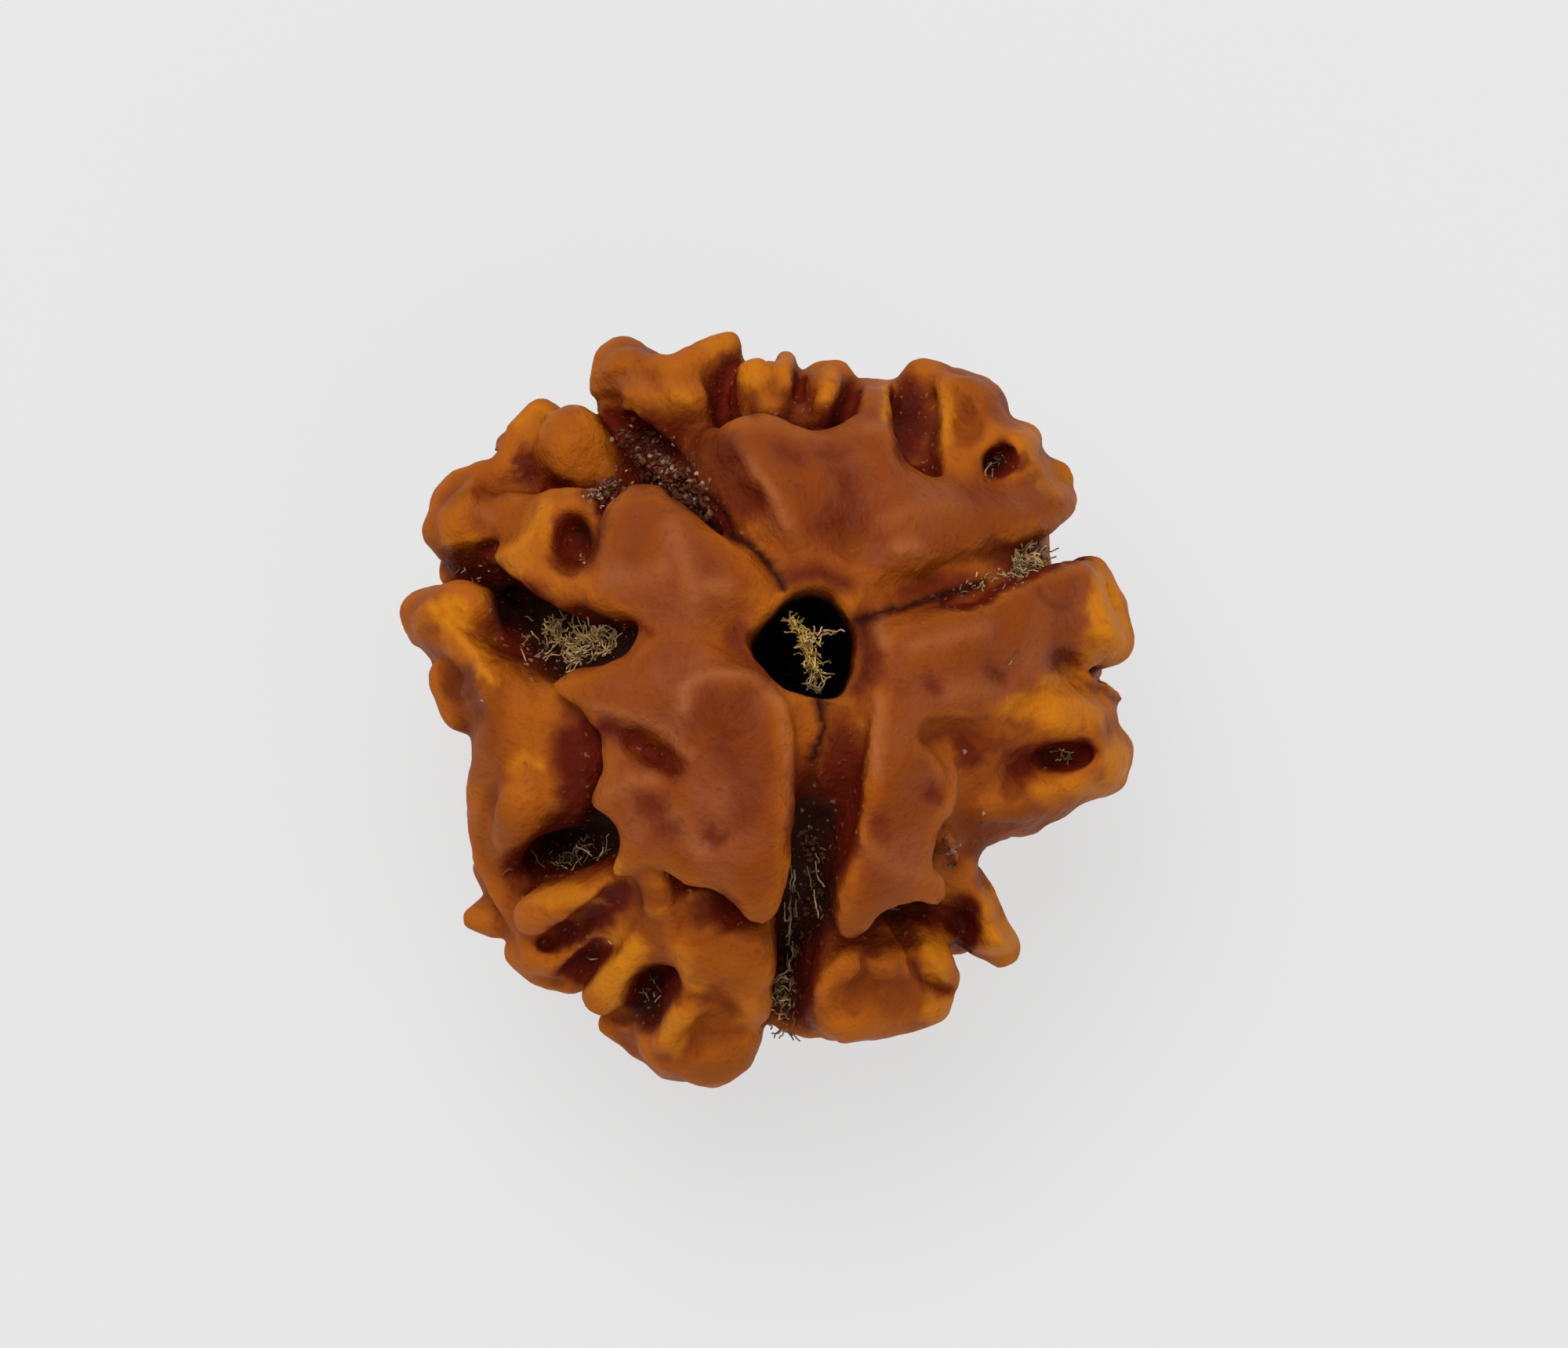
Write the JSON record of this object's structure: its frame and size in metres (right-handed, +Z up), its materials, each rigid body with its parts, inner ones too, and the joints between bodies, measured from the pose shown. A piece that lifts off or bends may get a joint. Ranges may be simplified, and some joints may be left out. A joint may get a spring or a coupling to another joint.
{
  "type": "three mukhi rudraksha",
  "caption": "Knobbly, ridged natural fruit stone in three lobes parted by three seams, with a natural bore from end to end, standing on small flat spots.",
  "frame": {"origin": "centre of the bounding box in X and Y, at the level the stone rests on", "axes": "+Z up along the bore, out of its wide upper mouth; +X to the right and +Y to the top of the picture"},
  "size_m": [0.0218, 0.0223, 0.0196],
  "materials": {
    "rudraksha_stone": "satin, waxy, reddish brown"
  },
  "bodies": {
    "root": {"rudraksha_stone": "rudraksha_stone"}
  },
  "joints": []
}
